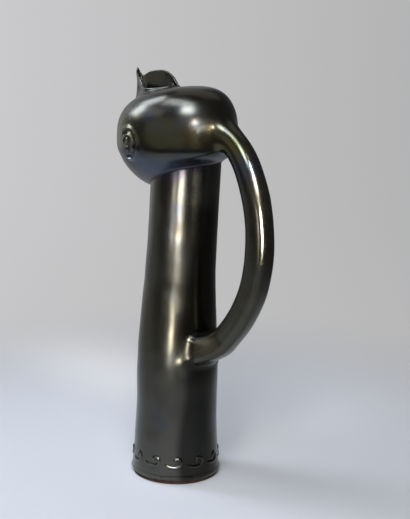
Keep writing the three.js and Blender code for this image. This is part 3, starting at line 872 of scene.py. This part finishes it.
def bareClay():
    # red stoneware left without glaze: rough, without shine, darker where the kiln's smoke reached it
    material, tree = newMaterial("unglazed red stoneware")
    place = addNode(tree, "ShaderNodeTexCoord").outputs["Object"]
    stains = addNode(tree, "ShaderNodeTexNoise", {"Vector": place}, Scale=foot["stains"], Detail=4,
                     Roughness=0.6)
    grog = addNode(tree, "ShaderNodeTexVoronoi", {"Vector": place}, Scale=foot["grit"])
    ramp = addNode(tree, "ShaderNodeValToRGB", {"Fac": stains.outputs["Fac"]})
    for stop, at, colour in zip((0, 1), (0.36, 0.62), ("darkClay", "redClay")):
        ramp.color_ramp.elements[stop].position = at
        ramp.color_ramp.elements[stop].color = (*linear(foot[colour]), 1)
    speck = addNode(tree, "ShaderNodeMapRange", {"Value": grog.outputs["Distance"]}, From_Max=0.5, To_Min=0.7)
    tint = addNode(tree, "ShaderNodeMix", data_type="RGBA", blend_type="MULTIPLY")
    tint.inputs["Factor"].default_value = 1
    tree.links.new(ramp.outputs["Color"], tint.inputs[6])
    tree.links.new(speck.outputs["Result"], tint.inputs[7])
    bump = addNode(tree, "ShaderNodeBump", {"Height": grog.outputs["Distance"]}, Strength=0.5, Distance=0.0004)
    shader = addNode(tree, "ShaderNodeBsdfPrincipled",
                     {"Base Color": tint.outputs[2], "Normal": bump.outputs["Normal"]}, Roughness=0.9)
    out = addNode(tree, "ShaderNodeOutputMaterial")
    tree.links.new(shader.outputs["BSDF"], out.inputs["Surface"])
    return material


footObj = makeFoot()
footObj.data.materials.append(bareClay())
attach(footObj, "root")
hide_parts("base_slab")
print("foot:", countTriangles(footObj.data), "triangles")


# Camera, at the photograph's angle

camera = {
    "place": (1.26306, -1.35447, 0.730), "heading": 41.846, "down": 12.32, "roll": 1.4,  # metres, degrees
    "lens": 89.83, "sensor": 36,  # millimetres
}


def addCamera():
    turn, down, roll = (math.radians(camera[k]) for k in ("heading", "down", "roll"))
    level = Vector((-math.sin(turn), math.cos(turn), 0))
    right = Vector((math.cos(turn), math.sin(turn), 0))
    ahead = level * math.cos(down) - Vector((0, 0, math.sin(down)))
    up = right.cross(ahead)
    across = right * math.cos(roll) + up * math.sin(roll)
    upright = up * math.cos(roll) - right * math.sin(roll)
    data = bpy.data.cameras.new("camera")
    data.lens, data.sensor_width, data.clip_start, data.clip_end = camera["lens"], camera["sensor"], 0.05, 20
    obj = bpy.data.objects.new("camera", data)
    scene.collection.objects.link(obj)
    obj.matrix_world = Matrix.Translation(camera["place"]) @ Matrix(
        (across, upright, -ahead)).transposed().to_4x4()
    scene.camera = obj


addCamera()


# Studio: a pale paper floor and a curved backdrop behind it on the left, and soft lights

studio = {
    "floorRadius": 2.0, "floorEdge": 6.0, "bend": 0.5, "wallHeight": 2.6, "wallFrom": 158, "wallTo": 275,
    "farRadius": 5.5, "farHeight": 8.0,
    "paper": "#c2c3c5", "backdropLeft": "#cdcdcf", "backdropRight": "#b0b0b0", "toneReach": 0.9,
    "fadeFrom": 0.32, "fadeTo": 1.0,  # metres from the pot where the paper turns into an even tone
    "world": "#5c5b5a", "paintedRoom": "#555555",
    # painted dim room that the glaze mirrors in place of the paper's glow: to the right, at least by a share,
    # and in front
    "dimRight": (0.1, 0.6), "dimLeast": 0.35, "dimFront": (0.25, 0.9), "front": (0.5, -0.87, 0),
    "softboxes": {            # azimuth, elevation, distance, width, height, brightness, colour, what it faces
        "left key low": (-66, 27, 1.0, 0.3, 0.3, 16, "#e4eeff", (0, 0, 0.5)),
        "left key high": (-73, 47, 1.0, 0.36, 0.42, 10, "#e4eeff", (0, 0, 0.5)),
        "overhead": (-5, 64, 1.2, 0.9, 0.4, 6, "#e8f0ff", (0, 0, 0.5)),
        "right key": (41, 42, 1.6, 0.5, 0.5, 24, "#e6f0ff", (0, 0, 0.5)),
        "right key high": (42, 58, 1.6, 0.55, 0.3, 7, "#e6f0ff", (0, 0, 0.5)),
        "front fill": (5, 8, 1.8, 2.6, 0.9, 0.42, "#fffbe8", (0, 0, 0.5)),
        "front high": (-30, 32, 1.6, 1.0, 0.5, 1.1, "#f4f6ff", (0, 0, 0.55)),
        "ceiling": (-160, 62, 1.8, 1.6, 1.2, 0.4, "#fff8ec", (0, 0, 0.5)),
        "warm lamp": (54.7, 15.4, 1.1, 0.06, 0.08, 190, "#fff0dc", (0.065, -0.046, 0.535)),
        "second lamp": (60.4, 5.4, 1.1, 0.04, 0.05, 120, "#fff0d8", (0.075, -0.033, 0.532)),
        "handle light low": (71, 0, 0.3, 0.09, 0.1, 13, "#fff6e8", (0.166, -0.014, 0.395)),
        "handle light high": (80, 31, 0.3, 0.1, 0.09, 7, "#fff6e8", (0.147, -0.013, 0.467)),
        "high strip right": (32, -14, 0.36, 0.09, 0.13, 13, "#f8f2ea", (0.01, 0, 0.447)),
        "high strip middle": (10, -14, 0.36, 0.07, 0.11, 3.3, "#f8f2ea", (0.01, 0, 0.448)),
        "low strip right": (23, -14, 0.36, 0.06, 0.07, 7, "#f8f2ea", (0.01, 0, 0.287)),
        "left fill": (-88, 5, 2.0, 1.2, 1.5, 0.3, "#ffffff", (0, 0, 0.4)),
    },
    "stripTilt": 12, "stripSpread": 56,  # degrees; the strips light the tube and not the head
    "handleSpread": 24, "handleAim": (0.01, 0.042, 0),  # its beam passes beside the tube
}


def around(azimuth, elevation, distance, target):
    # a place seen from the target; azimuth 0 is towards -Y and 90 towards +X
    a, e = math.radians(azimuth), math.radians(elevation)
    away = Vector((math.sin(a) * math.cos(e), -math.cos(a) * math.cos(e), math.sin(e)))
    return Vector(target) + away * distance


def addSoftbox(name, azimuth, elevation, distance, width, height, brightness, colour, target):
    # brightness is how many times brighter than white paper in plain light its face looks
    data = bpy.data.lights.new(name, "AREA")
    data.shape, data.size, data.size_y = "RECTANGLE", width, height
    data.energy, data.color = brightness * math.pi * width * height, linear(colour)
    obj = bpy.data.objects.new(name, data)
    obj.visible_camera = False
    scene.collection.objects.link(obj)
    place = around(azimuth, elevation, distance, target)
    back = (place - Vector(target)).normalized()
    if "strip" in name:
        data.spread = math.radians(studio["stripSpread"])
        back.z = math.tan(math.radians(studio["stripTilt"]))
    elif "handle" in name:
        data.spread = math.radians(studio["handleSpread"])
        back = (place - Vector(target) - Vector(studio["handleAim"])).normalized()
    obj.matrix_world = Matrix.Translation(place) @ back.to_track_quat("Z", "Y").to_matrix().to_4x4()


def spun(name, profile, degrees=360.0, start=0.0, steps=96):
    # turns a line of (distance, height) points about the upright axis
    bm = bmesh.new()
    a = math.radians(start)
    verts = [bm.verts.new((d * math.cos(a), d * math.sin(a), z)) for d, z in profile]
    line = [bm.edges.new(pair) for pair in zip(verts, verts[1:])]
    bmesh.ops.spin(bm, geom=verts + line, cent=(0, 0, 0), axis=(0, 0, 1), angle=math.radians(degrees),
                   steps=steps, use_merge=degrees == 360)
    bmesh.ops.remove_doubles(bm, verts=bm.verts, dist=1e-5)
    bmesh.ops.recalc_face_normals(bm, faces=bm.faces)
    return addMesh(name, bm)


def addStage():
    radius, bend = studio["floorRadius"], studio["bend"]
    floorObj = spun("floor", [(0, 0), (0.5, 0), (radius, 0), (studio["floorEdge"], 0)])
    curve = [(radius + bend * math.sin(a), 0.001 + bend - bend * math.cos(a))
             for a in np.linspace(0, math.pi / 2, 14)]
    wallObj = spun("backdrop", curve + [(radius + bend, studio["wallHeight"])],
                   studio["wallTo"] - studio["wallFrom"], studio["wallFrom"] - 90, 48)
    # the far wall is a background for the other views, and gives the pot neither light nor reflection
    farObj = spun("far_wall", [(studio["farRadius"], 0.001), (studio["farRadius"], studio["farHeight"])])
    farObj.visible_diffuse = farObj.visible_glossy = farObj.visible_transmission = farObj.visible_shadow = False
    material = paperMaterial()
    for obj in (floorObj, wallObj, farObj):
        obj.data.materials.append(material)


def paperMaterial():
    # matt paper; away from the pot it glows with a painted pale tone, lighter on the left and darker on the
    # right, so that the light can stay low; in the glaze's mirror it shows a painted dim room to the right and
    # in front
    material, tree = newMaterial("matt grey paper with painted glow")
    shader = addNode(tree, "ShaderNodeBsdfPrincipled", Roughness=0.95)
    shader.inputs["Base Color"].default_value = (*linear(studio["paper"]), 1)
    place = addNode(tree, "ShaderNodeTexCoord").outputs["Object"]
    turn = math.radians(camera["heading"])
    across = addNode(tree, "ShaderNodeVectorMath", {0: place}, operation="DOT_PRODUCT")
    across.inputs[1].default_value = (math.cos(turn), math.sin(turn), 0)
    side = addNode(tree, "ShaderNodeMapRange", {"Value": across.outputs["Value"]},
                   From_Min=-studio["toneReach"], From_Max=studio["toneReach"])
    tone = addNode(tree, "ShaderNodeMix", {"Factor": side.outputs["Result"]}, data_type="RGBA")
    tone.inputs[6].default_value = (*linear(studio["backdropLeft"]), 1)
    tone.inputs[7].default_value = (*linear(studio["backdropRight"]), 1)
    away = addNode(tree, "ShaderNodeVectorMath", {0: place}, operation="LENGTH")

    def step(value, low, high, start=0.0):
        return addNode(tree, "ShaderNodeMapRange", {"Value": value}, interpolation_type="SMOOTHSTEP",
                       From_Min=low, From_Max=high, To_Min=start).outputs["Result"]

    def combine(operation, first, second):
        return addNode(tree, "ShaderNodeMath", {0: first, 1: second}, operation=operation).outputs[0]

    front = addNode(tree, "ShaderNodeVectorMath", {0: place}, operation="DOT_PRODUCT")
    front.inputs[1].default_value = studio["front"]
    path = addNode(tree, "ShaderNodeLightPath").outputs
    mirror = combine("MAXIMUM", path["Is Glossy Ray"], path["Is Transmission Ray"])
    dim = combine("MAXIMUM", step(across.outputs["Value"], *studio["dimRight"], studio["dimLeast"]),
                  step(front.outputs["Value"], *studio["dimFront"]))
    # painted reflection: glossy rays see the dim room instead of the paper's glow
    shown = addNode(tree, "ShaderNodeMix", {"Factor": combine("MULTIPLY", mirror, dim)}, data_type="RGBA")
    tree.links.new(tone.outputs[2], shown.inputs[6])
    shown.inputs[7].default_value = (*linear(studio["paintedRoom"]), 1)
    glow = addNode(tree, "ShaderNodeEmission", {"Color": shown.outputs[2]})
    far = step(away.outputs["Value"], studio["fadeFrom"], studio["fadeTo"])
    part = combine("MULTIPLY", combine("MAXIMUM", path["Is Camera Ray"], mirror), far)
    mix = addNode(tree, "ShaderNodeMixShader", {0: part, 1: shader.outputs[0], 2: glow.outputs[0]})
    out = addNode(tree, "ShaderNodeOutputMaterial")
    tree.links.new(mix.outputs[0], out.inputs["Surface"])
    return material


addStage()
for name, values in studio["softboxes"].items():
    addSoftbox(name, *values)
print("studio:", len(studio["softboxes"]), "soft lights")

world = bpy.data.worlds.new("studio")
world.use_nodes = True
world.node_tree.nodes["Background"].inputs["Color"].default_value = (*linear(studio["world"]), 1)
scene.world = world
scene.view_settings.view_transform = "Standard"
